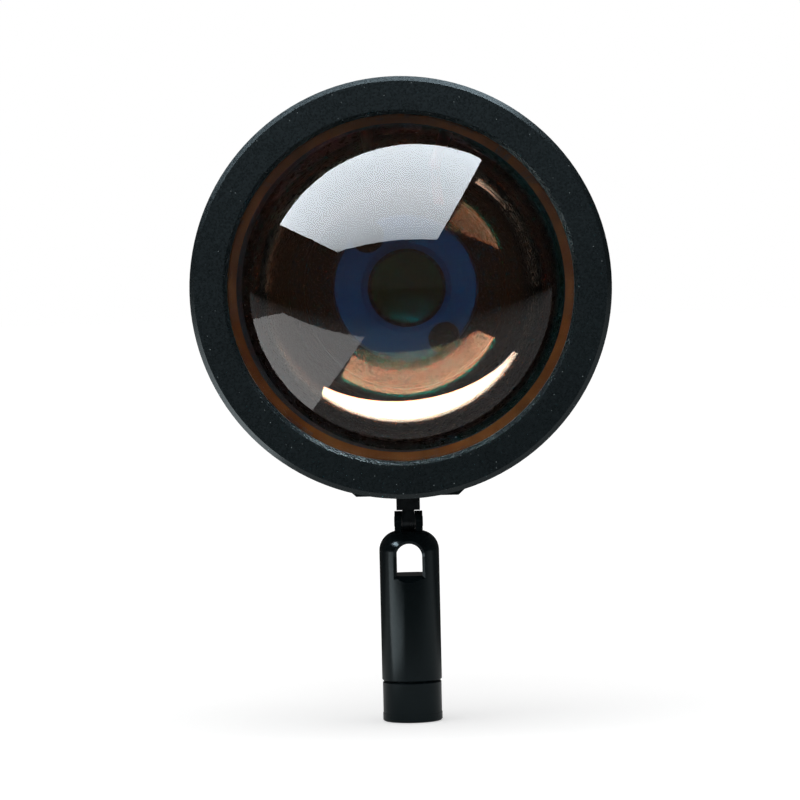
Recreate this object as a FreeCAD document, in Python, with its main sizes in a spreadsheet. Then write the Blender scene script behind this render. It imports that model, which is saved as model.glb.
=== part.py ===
import FreeCAD, Part
import math
import os
import Sketcher
from types import SimpleNamespace

# Projection lamp: a round head with a thick condenser lens, on a short stem that turns and tilts.
# Millimetres. +Z is up, the lens looks along -Y, and the origin is the mouth of the threaded
# socket at the bottom of the stem. Depths in the head are counted back from the bezel's face.

SIZES = {
    # how far the bezel's face stands in front of the stem's axis
    "front_overhang": 51.0,
    # front bezel
    "bezel_flare": 5.0,
    "bezel_edge": 1.15,
    "bezel_taper": 2.6,
    "bezel_depth": 21.0,
    "bezel_rear_edge": 1.0,
    "lip_overlap": 0.9,
    "lip_bevel": 0.96,
    "lip_depth": 2.5,
    "seat_clearance": 0.3,
    # lens, its gasket, and the filter and ring behind it
    "gasket_thickness": 0.8,
    "gasket_inset": 0.25,
    "lens_radius": 42.0,
    "lens_edge": 9.0,
    "lens_chamfer": 0.4,
    "lens_flange": 3.0,
    "dome_height": 20.0,
    "crown_curvature": 40.5,
    "flank_curvature": 76.2,
    "filter_gap": 0.3,
    "filter_thickness": 1.1,
    "ring_overlap": 2.8,
    "ring_thickness": 1.5,
    # housing barrel and the baffle inside it
    "housing_wall": 3.0,
    "spigot_wall": 1.6,
    "thread_clearance": 0.1,
    "shoulder_gap": 0.3,
    "web_thickness": 4.0,
    "web_gap": 1.25,
    "web_step": 1.8,
    "baffle_inset": 4.5,
    "baffle_wall": 1.0,
    "baffle_flange": 1.2,
    "baffle_steps": 7,
    "baffle_clearance": 0.3,
    # heat sink
    "sink_plate": 4.0,
    "core_radius": 20.0,
    "fin_length": 24.0,
    "fin_thickness": 1.8,
    "fin_root_sink": 1.0,
    "fin_corner": 1.0,
    "fin_count": 24,
    "channel_inset": 8.0,
    "channel_radius": 3.4,
    "channel_count": 3,
    "pedestal_radius": 12.5,
    # light source
    "board_depth": 46.5,
    "board_radius": 10.5,
    "board_thickness": 1.6,
    "pad_thickness": 0.5,
    "emitter_radius": 3.4,
    "emitter_rim": 0.3,
    "emitter_height": 1.2,
    "emitter_clearance": 0.4,
    "holder_margin": 0.8,
    "holder_bevel": 0.7,
    "holder_thickness": 1.5,
    "led_screw_offset": 6.6,
    "led_screw_radius": 1.0,
    "led_head_radius": 1.7,
    "led_head_height": 1.0,
    "led_screw_grip": 5.0,
    "wire_radius": 0.6,
    "wire_bend": 2.4,
    "wire_pad_inset": 1.5,
    "wire_gap": 1.3,
    "wire_room": 1.4,
    "wire_spread": 3.7,
    "wire_clearance": 0.4,
    "wire_tail": 0.8,
    # M3 screws
    "screw_radius": 1.5,
    "head_radius": 2.75,
    "head_height": 3.0,
    "hex_flats": 2.5,
    "hex_depth": 1.6,
    "screw_gap": 0.05,
    "screw_grip": 8.0,
    # driver board and inlet
    "insulator_thickness": 1.0,
    "driver_clearance": 2.8,
    "driver_thickness": 1.6,
    "driver_screw_offset": 14.0,
    "driver_head_height": 1.8,
    "choke_radius": 5.5,
    "choke_height": 5.0,
    "choke_place": 15.5,
    "choke_flange": 1.2,
    "choke_groove": 0.8,
    "capacitor_radius": 4.0,
    "capacitor_height": 5.8,
    "chip_width": 6.0,
    "chip_length": 5.0,
    "chip_height": 1.6,
    "chip_place": 20.0,
    "jack_width": 11.0,
    "jack_nose_radius": 4.8,
    "jack_bore_radius": 2.85,
    "jack_floor": 1.0,
    "jack_proud": 0.6,
    "jack_pin_radius": 1.0,
    "jack_pin_setback": 1.0,
    "jack_clearance": 0.3,
    # rear cover
    "cover_headroom": 1.1,
    "cover_wall": 2.2,
    "cover_back": 2.5,
    "cover_corner": 5.0,
    "cover_boss_radius": 4.2,
    "vent_count": 18,
    "vent_width": 2.2,
    "vent_inner": 17.0,
    "vent_outer": 31.0,
    # saddle and neck
    "saddle_height": 6.6,
    "saddle_width": 28.9,
    "saddle_bevel": 1.75,
    "saddle_slant": 1.6,
    "saddle_length": 20.0,
    "saddle_screw_offset": 7.0,
    "saddle_screw_head": 1.6,
    "saddle_grip": 5.0,
    "neck_height": 6.95,
    "neck_width": 5.84,
    "neck_thickness": 5.0,
    "neck_socket": 1.5,
    "neck_play": 0.05,
    "stud_radius": 2.0,
    "stud_spare": 0.8,
    "nut_flats": 7.0,
    "nut_height": 3.2,
    # tilt joint
    "pivot_rise": 2.25,
    "eye_radius": 2.65,
    "eye_clearance": 0.3,
    "tongue_width": 3.0,
    "tongue_root": 4.0,
    "fork_width": 7.0,
    "fork_root_sink": 1.2,
    "pin_radius": 1.25,
    "pin_clearance": 0.05,
    "pin_proud": 0.1,
    "washer_thickness": 0.3,
    "washer_play": 0.05,
    # stem
    "stem_radius": 7.5,
    "sleeve_length": 37.55,
    "stem_shoulder": 5.0,
    "stem_bore": 5.5,
    "window_drop": 3.0,
    "window_height": 8.0,
    "window_half_width": 3.25,
    "window_land": 2.1,
    "window_chamfer": 0.8,
    "sill_depth": 1.03,
    "sill_drop": 1.7,
    # bottom collar with its spindle
    "collar_inset": 0.125,
    "collar_height": 9.95,
    "foot_inset": 0.025,
    "foot_height": 2.0,
    "seam_gap": 0.2,
    "seam_chamfer": 0.3,
    "swivel_clearance": 0.05,
    "spindle_gap": 2.5,
    "spindle_bore": 2.5,
    "bush_radius": 6.0,
    "thread_radius": 4.46,
    "thread_length": 9.0,
    "stop_rise": 9.6,
    "stop_depth": 1.2,
    "stop_clearance": 0.3,
    "dog_radius": 1.0,
    "pan_screw_setback": 0.3,
    "swivel_ring_drop": 4.5,
    "swivel_ring_wire": 0.6,
    "swivel_ring_clearance": 0.02,
}

# Angles in degrees. The screws of the light source lie on a slant, one of them low on the right.
LED_SCREW_ANGLE = 54.0
STOP_GROOVE_ANGLE = 350.0
FULL_TURN = 360.0
QUARTER_TURN = 90.0


class Size:
    """A length together with the sheet formula that gives it."""

    def __init__(self, value, formula):
        self.value = value
        self.formula = formula

    def __add__(self, other):
        other = as_size(other)
        return Size(self.value + other.value, f"({self.formula} + {other.formula})")

    def __sub__(self, other):
        other = as_size(other)
        return Size(self.value - other.value, f"({self.formula} - {other.formula})")

    def __mul__(self, other):
        other = as_size(other)
        return Size(self.value * other.value, f"({self.formula} * {other.formula})")

    def __truediv__(self, other):
        other = as_size(other)
        return Size(self.value / other.value, f"({self.formula} / {other.formula})")

    def __neg__(self):
        return Size(-self.value, f"(-1 * {self.formula})")


def as_size(item):
    """Plain numbers join in sums with sheet sizes."""
    return item if isinstance(item, Size) else Size(float(item), repr(item))


def leg(hypotenuse, side):
    """The other leg of a right triangle, as a size."""
    square = hypotenuse * hypotenuse - side * side
    return Size(math.sqrt(square.value), f"sqrt({square.formula})")


s = SimpleNamespace(**{name: Size(float(value), f"Sizes.{name}") for name, value in SIZES.items()})

doc = FreeCAD.newDocument("ProjectionLamp")
vector = FreeCAD.Vector


def make_sheet():
    """The spreadsheet with one named cell for each driving dimension."""
    sheet = doc.addObject("Spreadsheet::Sheet", "Sizes")
    for row, (name, value) in enumerate(SIZES.items(), start=1):
        sheet.set(f"A{row}", name)
        sheet.set(f"B{row}", str(value))
        sheet.setAlias(f"B{row}", name)
    doc.recompute()


# ---------------------------------------------------------------- sketch and feature helpers


def new_body(name):
    body = doc.addObject("PartDesign::Body", name)
    body.Label = name
    return body


def origin_part(body, role):
    return next(item for item in body.Origin.OriginFeatures if item.Role == role)


def on_lamp_axis(body, turn=0.0):
    """Local Z runs back along the lamp axis from the bezel's face, and local Y points down."""
    facing = FreeCAD.Rotation(vector(1, 0, 0), -QUARTER_TURN)
    body.Placement = FreeCAD.Placement(vector(0, 0, 0), facing * FreeCAD.Rotation(vector(0, 0, 1), turn))
    body.setExpression("Placement.Base.y", (-s.front_overhang).formula)
    body.setExpression("Placement.Base.z", axis_height.formula)
    return body


def new_sketch(body, plane, offset=None):
    """A sketch on one of the body's own origin planes, or at a distance from it."""
    drawing = body.newObject("Sketcher::SketchObject", "Sketch")
    drawing.AttachmentSupport = [(origin_part(body, plane), "")]
    drawing.MapMode = "FlatFace"
    if offset is not None:
        drawing.AttachmentOffset = FreeCAD.Placement(vector(0, 0, offset.value), FreeCAD.Rotation())
        drawing.setExpression("AttachmentOffset.Base.z", offset.formula)
    return drawing


def pin_point(drawing, geometry, end, x, y):
    """Bind one point of the sketch to its two coordinates; zero means on the axis."""
    for kind, coordinate, axis in (("DistanceX", x, -2), ("DistanceY", y, -1)):
        coordinate = as_size(coordinate)
        if coordinate.formula in ("0", "0.0"):
            drawing.addConstraint(Sketcher.Constraint("PointOnObject", geometry, end, axis))
            continue
        index = drawing.addConstraint(
            Sketcher.Constraint(kind, -1, 1, geometry, end, coordinate.value)
        )
        drawing.setExpression(f"Constraints[{index}]", coordinate.formula)


def bind_radius(drawing, geometry, radius):
    index = drawing.addConstraint(Sketcher.Constraint("Radius", geometry, radius.value))
    drawing.setExpression(f"Constraints[{index}]", radius.formula)


def arc_between(start, end, radius, side):
    """The short arc from start to end; its centre is left of that way for side 1, right for -1."""
    chord = end - start
    height = math.sqrt(max(radius**2 - (chord.Length / 2) ** 2, 0.0))
    left = vector(-chord.y, chord.x, 0).normalize()
    centre = (start + end) / 2 + left * height * side
    first, last = (start, end) if side > 0 else (end, start)
    circle = Part.Circle(centre, vector(0, 0, 1), radius)
    angle = [math.atan2(point.y - centre.y, point.x - centre.x) for point in (first, last)]
    return Part.ArcOfCircle(circle, angle[0], angle[1])


def outline(drawing, points):
    """A closed outline. Each point is (x, y), or (x, y, radius, side) where an arc leads to it."""
    places = [vector(as_size(p[0]).value, as_size(p[1]).value, 0) for p in points]
    ends = []
    for number, point in enumerate(points):
        start, end = places[number - 1], places[number]
        curved = len(point) == 4
        if curved:
            shape = arc_between(start, end, point[2].value, point[3])
            flipped = point[3] < 0
        else:
            shape = Part.LineSegment(start, end)
            flipped = False
        geometry = drawing.addGeometry(shape, False)
        ends.append((geometry, 2 if flipped else 1, 1 if flipped else 2))
    for number, (geometry, start_end, far_end) in enumerate(ends):
        following = ends[(number + 1) % len(ends)]
        drawing.addConstraint(
            Sketcher.Constraint("Coincident", geometry, far_end, following[0], following[1])
        )
        pin_point(drawing, geometry, far_end, points[number][0], points[number][1])
        if len(points[number]) == 4:
            bind_radius(drawing, geometry, points[number][2])
    return drawing


def rectangle(drawing, half_width, half_height):
    """A rectangle about the sketch's origin."""
    return outline(drawing, [
        (-half_width, -half_height),
        (half_width, -half_height),
        (half_width, half_height),
        (-half_width, half_height),
    ])


def circles(drawing, items):
    """Full circles, each given as (x, y, radius)."""
    for x, y, radius in items:
        centre = vector(as_size(x).value, as_size(y).value, 0)
        geometry = drawing.addGeometry(Part.Circle(centre, vector(0, 0, 1), radius.value), False)
        pin_point(drawing, geometry, 3, x, y)
        bind_radius(drawing, geometry, radius)
    return drawing


def spin_axis(drawing, place, length):
    """A construction line parallel to the sketch's upright axis, for a revolve beside the origin."""
    line = Part.LineSegment(vector(place.value, 0, 0), vector(place.value, length, 0))
    geometry = drawing.addGeometry(line, True)
    pin_point(drawing, geometry, 1, place, 0)
    drawing.addConstraint(Sketcher.Constraint("Vertical", geometry))


def checked(body, feature, sign):
    """Recompute, and make sure the feature added (1) or removed (-1) material."""
    before = body.Shape.Volume if body.Shape and not body.Shape.isNull() else 0.0
    body.Tip = feature
    doc.recompute()
    change = feature.Shape.Volume - before
    if change * sign <= 0:
        raise RuntimeError(f"{body.Label}: {feature.Name} changed the volume by {change:.3f}")
    return feature


def revolve(body, drawing, axis="V_Axis"):
    feature = body.newObject("PartDesign::Revolution", "Revolution")
    feature.Profile = drawing
    feature.ReferenceAxis = (drawing, [axis])
    feature.Angle = FULL_TURN
    return checked(body, feature, 1)


def groove(body, drawing, angle=FULL_TURN, axis="V_Axis"):
    feature = body.newObject("PartDesign::Groove", "Groove")
    feature.Profile = drawing
    feature.ReferenceAxis = (drawing, [axis])
    feature.Angle = angle
    feature.Midplane = True
    return checked(body, feature, -1)


def pad(body, drawing, length, both_ways=False, backwards=False):
    feature = body.newObject("PartDesign::Pad", "Pad")
    feature.Profile = drawing
    feature.SideType = "Symmetric" if both_ways else "One side"
    feature.Reversed = backwards
    feature.setExpression("Length", length.formula)
    return checked(body, feature, 1)


def pocket(body, drawing, length=None, both_ways=False, backwards=False):
    """A pocket of a given depth, or right through when no depth is given."""
    feature = body.newObject("PartDesign::Pocket", "Pocket")
    feature.Profile = drawing
    feature.SideType = "Symmetric" if both_ways else "One side"
    feature.Reversed = backwards
    if length is None:
        feature.Type = "ThroughAll"
    else:
        feature.setExpression("Length", length.formula)
    return checked(body, feature, -1)


def polar(body, features, count, sign, axis="Z_Axis"):
    """Repeat features evenly round one of the body's axes."""
    pattern = body.newObject("PartDesign::PolarPattern", "Pattern")
    pattern.Originals = features
    pattern.Axis = (origin_part(body, axis), [""])
    pattern.Angle = FULL_TURN
    if isinstance(count, Size):
        pattern.setExpression("Occurrences", count.formula)
    else:
        pattern.Occurrences = count
    return checked(body, pattern, sign)


def turned(name, points, body=None, plane="XZ_Plane"):
    """A turned piece: an outline of (radius, place along the axis) spun round local Z."""
    body = body or on_lamp_axis(new_body(name))
    revolve(body, outline(new_sketch(body, plane), points))
    return body


def ring_points(inner, outer, front, back):
    return [(inner, front), (outer, front), (outer, back), (inner, back)]


def screw_points(place, shank, head, head_end, seat, tip):
    """Half of a plain-headed screw beside its own axis."""
    return [
        (place, head_end),
        (place + head, head_end),
        (place + head, seat),
        (place + shank, seat),
        (place + shank, tip),
        (place, tip),
    ]


def screw_set(body, plane, place, shank, head, ends, count):
    """Identical screws in a ring round local Z, as separate solids of one node."""
    drawing = outline(new_sketch(body, plane), screw_points(place, shank, head, *ends))
    spin_axis(drawing, place, shank.value)
    polar(body, [revolve(body, drawing, "Axis0")], count, 1)


def hexagon(drawing, y, flats):
    """A hexagon centred on the sketch's upright axis, with two of its corners on that axis."""
    half = flats / 2
    corner = flats / math.sqrt(3)
    return outline(drawing, [
        (0, y + corner),
        (-half, y + corner / 2),
        (-half, y - corner / 2),
        (0, y - corner),
        (half, y - corner / 2),
        (half, y + corner / 2),
    ])


# ---------------------------------------------------------------- shared radii and depths in the head

housing_bore = s.lens_radius
housing_radius = housing_bore + s.housing_wall
spigot_radius = housing_bore + s.spigot_wall
bezel_radius = housing_radius + s.bezel_flare
lip_radius = s.lens_radius - s.lip_overlap
channel_circle = housing_radius - s.channel_inset
wire_rise = s.pedestal_radius + s.wire_radius + s.wire_gap
web_bore = wire_rise + s.wire_radius + s.wire_room
screw_hole = s.screw_radius + s.screw_gap
wire_hole = s.wire_radius + s.wire_clearance

lens_front = s.lip_depth + s.gasket_thickness
lens_back = lens_front + s.lens_edge
filter_front = lens_back + s.filter_gap
filter_back = filter_front + s.filter_thickness
ring_back = filter_back + s.ring_thickness
web_front = s.front_overhang + s.saddle_screw_offset + s.head_radius + s.web_gap
housing_back = web_front + s.web_thickness
plate_back = housing_back + s.sink_plate
fins_back = plate_back + s.fin_length
board_back = s.board_depth + s.board_thickness
pedestal_top = board_back + s.pad_thickness
driver_front = fins_back + s.insulator_thickness
driver_back = driver_front + s.driver_thickness
cover_inside = driver_back + s.capacitor_height + s.cover_headroom
cover_end = cover_inside + s.cover_back

# ---------------------------------------------------------------- shared heights, from the bottom up

sleeve_bottom = s.collar_height + s.seam_gap
stem_top = sleeve_bottom + s.sleeve_length
pivot_height = stem_top + s.pivot_rise
saddle_bottom = pivot_height + s.neck_height
housing_bottom = saddle_bottom + s.saddle_height
axis_height = housing_bottom + housing_radius
bore_bottom = axis_height - housing_bore
neck_shoulder = pivot_height + s.eye_radius + s.eye_clearance
window_top = stem_top - s.window_drop
window_floor = window_top - s.window_height
stem_bore_top = window_floor - s.window_land
spindle_top = stem_bore_top - s.spindle_gap
swivel_ring_height = spindle_top - s.swivel_ring_drop
stop_height = sleeve_bottom + s.stop_rise
stop_half_height = s.dog_radius + s.stop_clearance
slot_width = s.tongue_width + (s.washer_thickness + s.washer_play) * 2
spindle_radius = s.stem_bore - s.swivel_clearance


# ---------------------------------------------------------------- optics


def make_front_bezel():
    """Wide flat ring with a bevelled lip over the lens and a tapered skirt that screws on behind."""
    seat = s.lens_radius + s.seat_clearance
    skirt = spigot_radius + s.thread_clearance
    rear = bezel_radius - s.bezel_taper
    turned("front_bezel", [
        (lip_radius, s.lip_bevel),
        (lip_radius + s.lip_bevel, 0),
        (bezel_radius - s.bezel_edge, 0),
        (bezel_radius, s.bezel_edge),
        (rear, s.bezel_depth - s.bezel_rear_edge),
        (rear - s.bezel_rear_edge, s.bezel_depth),
        (skirt, s.bezel_depth),
        (skirt, filter_back),
        (seat, filter_back),
        (seat, s.lip_depth),
        (lip_radius, s.lip_depth),
    ])


def make_projection_lens():
    """Plano-convex lens: a dome that flattens towards its base, standing out of a thick flat flange."""
    dome_base = s.lens_radius - s.lens_flange
    apex = lens_front - s.dome_height
    crown = dome_base / 2
    turned("projection_lens", [
        (0, lens_back),
        (0, apex),
        (crown, apex + s.crown_curvature - leg(s.crown_curvature, crown), s.crown_curvature, 1),
        (dome_base, lens_front, s.flank_curvature, 1),
        (s.lens_radius - s.lens_chamfer, lens_front),
        (s.lens_radius, lens_front + s.lens_chamfer),
        (s.lens_radius, lens_back - s.lens_chamfer),
        (s.lens_radius - s.lens_chamfer, lens_back),
    ])


def make_lens_stack():
    """Gasket in front of the lens; filter disc and retaining ring behind it."""
    gasket_inner = lip_radius + s.gasket_inset
    turned("lens_gasket", ring_points(gasket_inner, s.lens_radius, s.lip_depth, lens_front))
    turned("color_filter", [
        (0, filter_front),
        (s.lens_radius, filter_front),
        (s.lens_radius, filter_back),
        (0, filter_back),
    ])
    ring_inner = s.lens_radius - s.ring_overlap
    turned("filter_ring", ring_points(ring_inner, spigot_radius, filter_back, ring_back))


def make_baffle():
    """Thin cone in equal steps from the ring back to the web, to stop stray light."""
    front, rear = s.lens_radius - s.baffle_inset, web_bore + s.web_step
    flange, flange_back = housing_bore - s.baffle_clearance, ring_back + s.baffle_flange
    steps = int(s.baffle_steps.value)
    run = (web_front - ring_back) / s.baffle_steps
    drop = (front - rear) / (s.baffle_steps - 1)
    stairs = [(front, ring_back)]
    for step in range(1, steps):
        stairs.append((front - drop * (step - 1), ring_back + run * step))
        stairs.append((front - drop * step, ring_back + run * step))
    turned("baffle_cone", stairs + [
        (rear, web_front),
        (rear + s.baffle_wall, web_front),
        (front + s.baffle_wall, ring_back + run),
        (front + s.baffle_wall, flange_back),
        (flange, flange_back),
        (flange, ring_back),
    ])


# ---------------------------------------------------------------- housing and heat sink


def make_housing():
    """Main tube: threaded spigot in front, web behind, holes for the neck stud and saddle screws."""
    body = turned("housing_barrel", [
        (housing_bore, ring_back),
        (spigot_radius, ring_back),
        (spigot_radius, s.bezel_depth + s.shoulder_gap),
        (housing_radius, s.bezel_depth + s.shoulder_gap),
        (housing_radius, housing_back),
        (web_bore, housing_back),
        (web_bore, web_front),
        (housing_bore, web_front),
    ])
    drawing = new_sketch(body, "XY_Plane", housing_back)
    circles(drawing, [(0, -channel_circle, screw_hole)])
    hole = pocket(body, drawing, s.web_thickness)
    polar(body, [hole], s.channel_count, -1)
    drawing = new_sketch(body, "XZ_Plane")
    circles(drawing, [
        (0, s.front_overhang - s.saddle_screw_offset, screw_hole),
        (0, s.front_overhang, s.stud_radius + s.screw_gap),
        (0, s.front_overhang + s.saddle_screw_offset, screw_hole),
    ])
    pocket(body, drawing, housing_radius)


def make_heat_sink():
    """Front plate with the light source's pedestal, solid core, radial fins and three screw channels."""
    body = turned("heat_sink", [
        (0, pedestal_top),
        (s.pedestal_radius, pedestal_top),
        (s.pedestal_radius, housing_back),
        (housing_radius, housing_back),
        (housing_radius, plate_back),
        (s.core_radius, plate_back),
        (s.core_radius, fins_back),
        (0, fins_back),
    ])
    root = s.core_radius - s.fin_root_sink
    drawing = new_sketch(body, "YZ_Plane")
    outline(drawing, [
        (root, plate_back - s.fin_root_sink),
        (housing_radius, plate_back - s.fin_root_sink),
        (housing_radius, fins_back - s.fin_corner),
        (housing_radius - s.fin_corner, fins_back),
        (root, fins_back),
    ])
    fin = pad(body, drawing, s.fin_thickness, both_ways=True)
    polar(body, [fin], s.fin_count, 1)
    drawing = new_sketch(body, "XY_Plane", plate_back)
    circles(drawing, [(0, -channel_circle, s.channel_radius)])
    channel = pad(body, drawing, s.fin_length)
    polar(body, [channel], s.channel_count, 1)
    drawing = new_sketch(body, "XY_Plane", fins_back)
    circles(drawing, [(0, -channel_circle, screw_hole)])
    bore = pocket(body, drawing)
    polar(body, [bore], s.channel_count, -1)
    drawing = new_sketch(body, "XY_Plane", fins_back)
    circles(drawing, [(-s.wire_spread, -wire_rise, wire_hole), (s.wire_spread, -wire_rise, wire_hole)])
    pocket(body, drawing)
    drawing = new_sketch(body, "XY_Plane", fins_back)
    offset = s.driver_screw_offset
    circles(drawing, [(-offset, 0, screw_hole), (offset, 0, screw_hole)])
    pocket(body, drawing, s.screw_grip)
    turn = math.radians(LED_SCREW_ANGLE)
    across = s.led_screw_offset * math.cos(turn)
    down = s.led_screw_offset * math.sin(turn)
    hole = s.led_screw_radius + s.screw_gap
    drawing = new_sketch(body, "XY_Plane", pedestal_top)
    circles(drawing, [(across, down, hole), (-across, -down, hole)])
    pocket(body, drawing, s.led_screw_grip, backwards=True)


def make_heat_sink_screws():
    """Three screws from inside the housing, through its web into the channels between the fins."""
    body = on_lamp_axis(new_body("heat_sink_screws"), FULL_TURN / 2)
    ends = (web_front - s.head_height, web_front, plate_back + s.screw_grip)
    screw_set(body, "YZ_Plane", channel_circle, s.screw_radius, s.head_radius, ends, s.channel_count)


# ---------------------------------------------------------------- light source


def holed_disc(name, front, thickness, radius, holes, turn=0.0):
    """A flat disc square to the lamp axis, with round holes."""
    body = on_lamp_axis(new_body(name), turn)
    pad(body, circles(new_sketch(body, "XY_Plane", front), [(0, 0, radius)] + holes), thickness)
    return body


def make_light_source():
    """Thermal pad, board, emitter with its dome, field stop and two screws, stacked on the pedestal."""
    hole = s.led_screw_radius + s.screw_gap
    pair = [(-s.led_screw_offset, 0, hole), (s.led_screw_offset, 0, hole)]
    turn = LED_SCREW_ANGLE
    holed_disc("thermal_pad", board_back, s.pad_thickness, s.board_radius, pair, turn)
    holed_disc("led_board", s.board_depth, s.board_thickness, s.board_radius, pair, turn)
    crown = s.emitter_height - s.emitter_rim
    dome = (s.emitter_radius * s.emitter_radius + crown * crown) / (crown * 2)
    turned("led_emitter", [
        (0, s.board_depth),
        (0, s.board_depth - s.emitter_height),
        (s.emitter_radius, s.board_depth - s.emitter_rim, dome, 1),
        (s.emitter_radius, s.board_depth),
    ])
    holder_front = s.board_depth - s.holder_thickness
    holder_bore = s.emitter_radius + s.emitter_clearance
    holder_radius = s.led_screw_offset + s.holder_margin
    body = on_lamp_axis(new_body("led_holder"), turn)
    turned("led_holder", [
        (holder_bore, s.board_depth),
        (holder_bore, holder_front + s.holder_bevel),
        (holder_bore + s.holder_bevel, holder_front),
        (holder_radius, holder_front),
        (holder_radius, s.board_depth),
    ], body)
    pocket(body, circles(new_sketch(body, "XY_Plane", s.board_depth), pair), s.holder_thickness)
    body = on_lamp_axis(new_body("led_screws"), turn)
    ends = (holder_front - s.led_head_height, holder_front, pedestal_top + s.led_screw_grip)
    screw_set(body, "XZ_Plane", s.led_screw_offset, s.led_screw_radius, s.led_head_radius, ends, 2)


def make_wire(name, side):
    """A lead from its pad on the light source's board, over the pedestal and back to the driver."""
    body = on_lamp_axis(new_body(name))
    body.setExpression("Placement.Base.x", (s.wire_spread * side).formula)
    body.setExpression("Placement.Base.y", (s.board_depth - s.wire_radius - s.front_overhang).formula)
    wire_pad = s.board_radius - s.wire_pad_inset
    body.setExpression("Placement.Base.z", (axis_height + wire_pad).formula)
    reach = wire_rise - wire_pad
    depth = driver_back + s.wire_tail - s.board_depth + s.wire_radius
    path = new_sketch(body, "YZ_Plane")
    corner = reach - s.wire_bend
    start, knee = vector(0, 0, 0), vector(-corner.value, 0, 0)
    turn_end, end = vector(-reach.value, s.wire_bend.value, 0), vector(-reach.value, depth.value, 0)
    run_out = path.addGeometry(Part.LineSegment(start, knee), False)
    bend = path.addGeometry(arc_between(knee, turn_end, s.wire_bend.value, -1), False)
    run_back = path.addGeometry(Part.LineSegment(turn_end, end), False)
    pin_point(path, run_out, 1, 0, 0)
    pin_point(path, run_out, 2, -corner, 0)
    path.addConstraint(Sketcher.Constraint("Coincident", run_out, 2, bend, 2))
    path.addConstraint(Sketcher.Constraint("Coincident", bend, 1, run_back, 1))
    pin_point(path, run_back, 1, -reach, s.wire_bend)
    bind_radius(path, bend, s.wire_bend)
    pin_point(path, run_back, 2, -reach, depth)
    section = circles(new_sketch(body, "XZ_Plane"), [(0, 0, s.wire_radius)])
    pipe = body.newObject("PartDesign::AdditivePipe", "Pipe")
    pipe.Profile = section
    pipe.Spine = path
    checked(body, pipe, 1)


# ---------------------------------------------------------------- driver and inlet


def make_driver():
    """Insulator, round driver board, its two screws and the parts that stand on it."""
    offset = s.driver_screw_offset
    holes = [
        (-s.wire_spread, -wire_rise, wire_hole),
        (s.wire_spread, -wire_rise, wire_hole),
        (-offset, 0, screw_hole),
        (offset, 0, screw_hole),
    ]
    holed_disc("insulator_disc", fins_back, s.insulator_thickness, s.core_radius, holes)
    driver_radius = channel_circle - s.cover_boss_radius - s.driver_clearance
    holed_disc("driver_board", driver_front, s.driver_thickness, driver_radius, holes)
    body = on_lamp_axis(new_body("driver_screws"))
    ends = (driver_back + s.driver_head_height, driver_back, fins_back - s.screw_grip)
    screw_set(body, "XZ_Plane", offset, s.screw_radius, s.head_radius, ends, 2)


def make_driver_parts():
    """Drum-core choke, capacitor and chip, which stand on the board round the inlet."""
    choke = on_lamp_axis(new_body("driver_choke"), QUARTER_TURN / 2)
    flange = s.choke_flange
    place = s.choke_place
    waist = place + s.choke_radius - s.choke_groove
    drawing = outline(new_sketch(choke, "XZ_Plane"), [
        (place, driver_back),
        (place + s.choke_radius, driver_back),
        (place + s.choke_radius, driver_back + flange),
        (waist, driver_back + flange),
        (waist, driver_back + s.choke_height - flange),
        (place + s.choke_radius, driver_back + s.choke_height - flange),
        (place + s.choke_radius, driver_back + s.choke_height),
        (place, driver_back + s.choke_height),
    ])
    spin_axis(drawing, place, s.choke_height.value)
    revolve(choke, drawing, "Axis0")

    capacitor = on_lamp_axis(new_body("driver_capacitor"), 3 * QUARTER_TURN / 2)
    drawing = circles(new_sketch(capacitor, "XY_Plane", driver_back), [(place, 0, s.capacitor_radius)])
    pad(capacitor, drawing, s.capacitor_height)

    chip = on_lamp_axis(new_body("driver_chip"))
    half = s.chip_width / 2
    drawing = outline(new_sketch(chip, "XY_Plane", driver_back), [
        (-half, s.chip_place),
        (half, s.chip_place),
        (half, s.chip_place + s.chip_length),
        (-half, s.chip_place + s.chip_length),
    ])
    pad(chip, drawing, s.chip_height)


def make_power_jack():
    """Square low-voltage socket on the driver board; its round nose comes through the rear cover."""
    body = on_lamp_axis(new_body("power_jack"))
    half = s.jack_width / 2
    drawing = rectangle(new_sketch(body, "XY_Plane", driver_back), half, half)
    pad(body, drawing, cover_inside - s.jack_clearance - driver_back)
    mouth = cover_end + s.jack_proud
    bore_depth = mouth - driver_back - s.jack_floor
    drawing = circles(new_sketch(body, "XY_Plane", driver_back), [(0, 0, s.jack_nose_radius)])
    pad(body, drawing, mouth - driver_back)
    drawing = circles(new_sketch(body, "XY_Plane", mouth), [(0, 0, s.jack_bore_radius)])
    pocket(body, drawing, bore_depth)
    body = on_lamp_axis(new_body("jack_pin"))
    drawing = new_sketch(body, "XY_Plane", mouth - bore_depth)
    circles(drawing, [(0, 0, s.jack_pin_radius)])
    pad(body, drawing, bore_depth - s.jack_pin_setback)


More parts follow.
